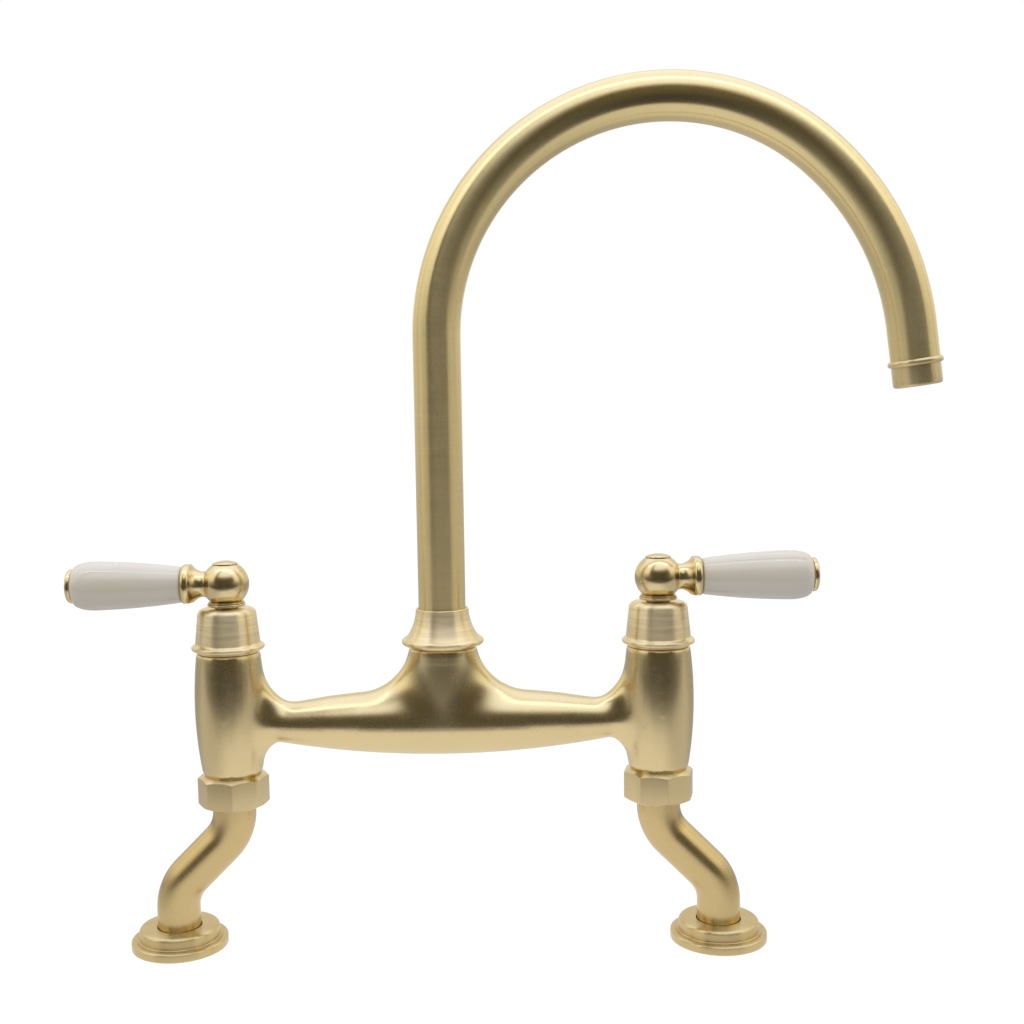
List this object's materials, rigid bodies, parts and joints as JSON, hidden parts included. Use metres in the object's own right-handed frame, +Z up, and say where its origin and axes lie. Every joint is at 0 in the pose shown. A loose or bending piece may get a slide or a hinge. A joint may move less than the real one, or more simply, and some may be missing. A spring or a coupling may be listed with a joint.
{
  "type": "kitchen tap",
  "caption": "Bridge mixer kitchen tap in satin brass: tall swivelling swan-neck spout, quarter-turn levers with ivory ceramic handles, cranked legs and round foot flanges.",
  "frame": {"origin": "on the worktop plane under the feet, midway between the two valve axes", "axes": "+X along the bridge towards the spout's outlet, -Y towards the user, +Z up"},
  "size_m": [0.3625, 0.0408, 0.359],
  "materials": {
    "satin_brass": "soft satin, blasted casting",
    "brushed_brass": "finely brushed round the axis",
    "plain_brass": "as turned",
    "glazed_ceramic": "glossy ivory-white glaze",
    "disc_ceramic": "lapped technical ceramic",
    "seal_rubber": "smooth black rubber",
    "washer_fibre": "pale washer material",
    "aerator_plastic": "moulded grey plastic",
    "steel": "plain stainless steel"
  },
  "bodies": {
    "bridge": {"bridge_body": "satin_brass", "spout_collar": "brushed_brass", "swivel_washer": "washer_fibre", "left_leg": "satin_brass", "left_foot_flange": "brushed_brass", "left_foot_seal": "seal_rubber", "left_union_nut": "brushed_brass", "left_union_washer": "washer_fibre", "left_valve_cap": "brushed_brass", "left_cartridge_housing": "plain_brass", "left_seat_seal": "seal_rubber", "left_fixed_disc": "disc_ceramic", "right_leg": "satin_brass", "right_foot_flange": "brushed_brass", "right_foot_seal": "seal_rubber", "right_union_nut": "brushed_brass", "right_union_washer": "washer_fibre", "right_valve_cap": "brushed_brass", "right_cartridge_housing": "plain_brass", "right_seat_seal": "seal_rubber", "right_fixed_disc": "disc_ceramic"},
    "left_lever": {"left_moving_disc": "disc_ceramic", "left_spindle": "plain_brass", "left_spindle_oring": "seal_rubber", "left_lever_collar": "brushed_brass", "left_lever_hub": "satin_brass", "left_hub_screw": "steel", "left_top_button": "satin_brass", "left_handle_rod": "plain_brass", "left_handle_washer": "washer_fibre", "left_ceramic_handle": "glazed_ceramic", "left_end_finial": "satin_brass"},
    "right_lever": {"right_moving_disc": "disc_ceramic", "right_spindle": "plain_brass", "right_spindle_oring": "seal_rubber", "right_lever_collar": "brushed_brass", "right_lever_hub": "satin_brass", "right_hub_screw": "steel", "right_top_button": "satin_brass", "right_handle_rod": "plain_brass", "right_handle_washer": "washer_fibre", "right_ceramic_handle": "glazed_ceramic", "right_end_finial": "satin_brass"},
    "spout": {"spout_tube": "brushed_brass", "spout_spigot": "plain_brass", "spigot_orings": "seal_rubber", "outlet_ring": "brushed_brass", "outlet_nozzle": "brushed_brass", "aerator_seal": "seal_rubber", "aerator_screen": "steel", "aerator_body": "aerator_plastic"}
  },
  "joints": [
    {"name": "left_lever_turn", "type": "hinge", "parent": "bridge", "child": "left_lever", "pos_m": [-0.09, 0, 0.15601], "axis": [0, 0, 1], "range_deg": [0, 90]},
    {"name": "right_lever_turn", "type": "hinge", "parent": "bridge", "child": "right_lever", "pos_m": [0.09, 0, 0.15601], "axis": [0, 0, -1], "range_deg": [0, 90]},
    {"name": "spout_swivel", "type": "hinge", "parent": "bridge", "child": "spout", "pos_m": [0, 0, 0.13351], "axis": [0, 0, 1], "continuous": true}
  ]
}
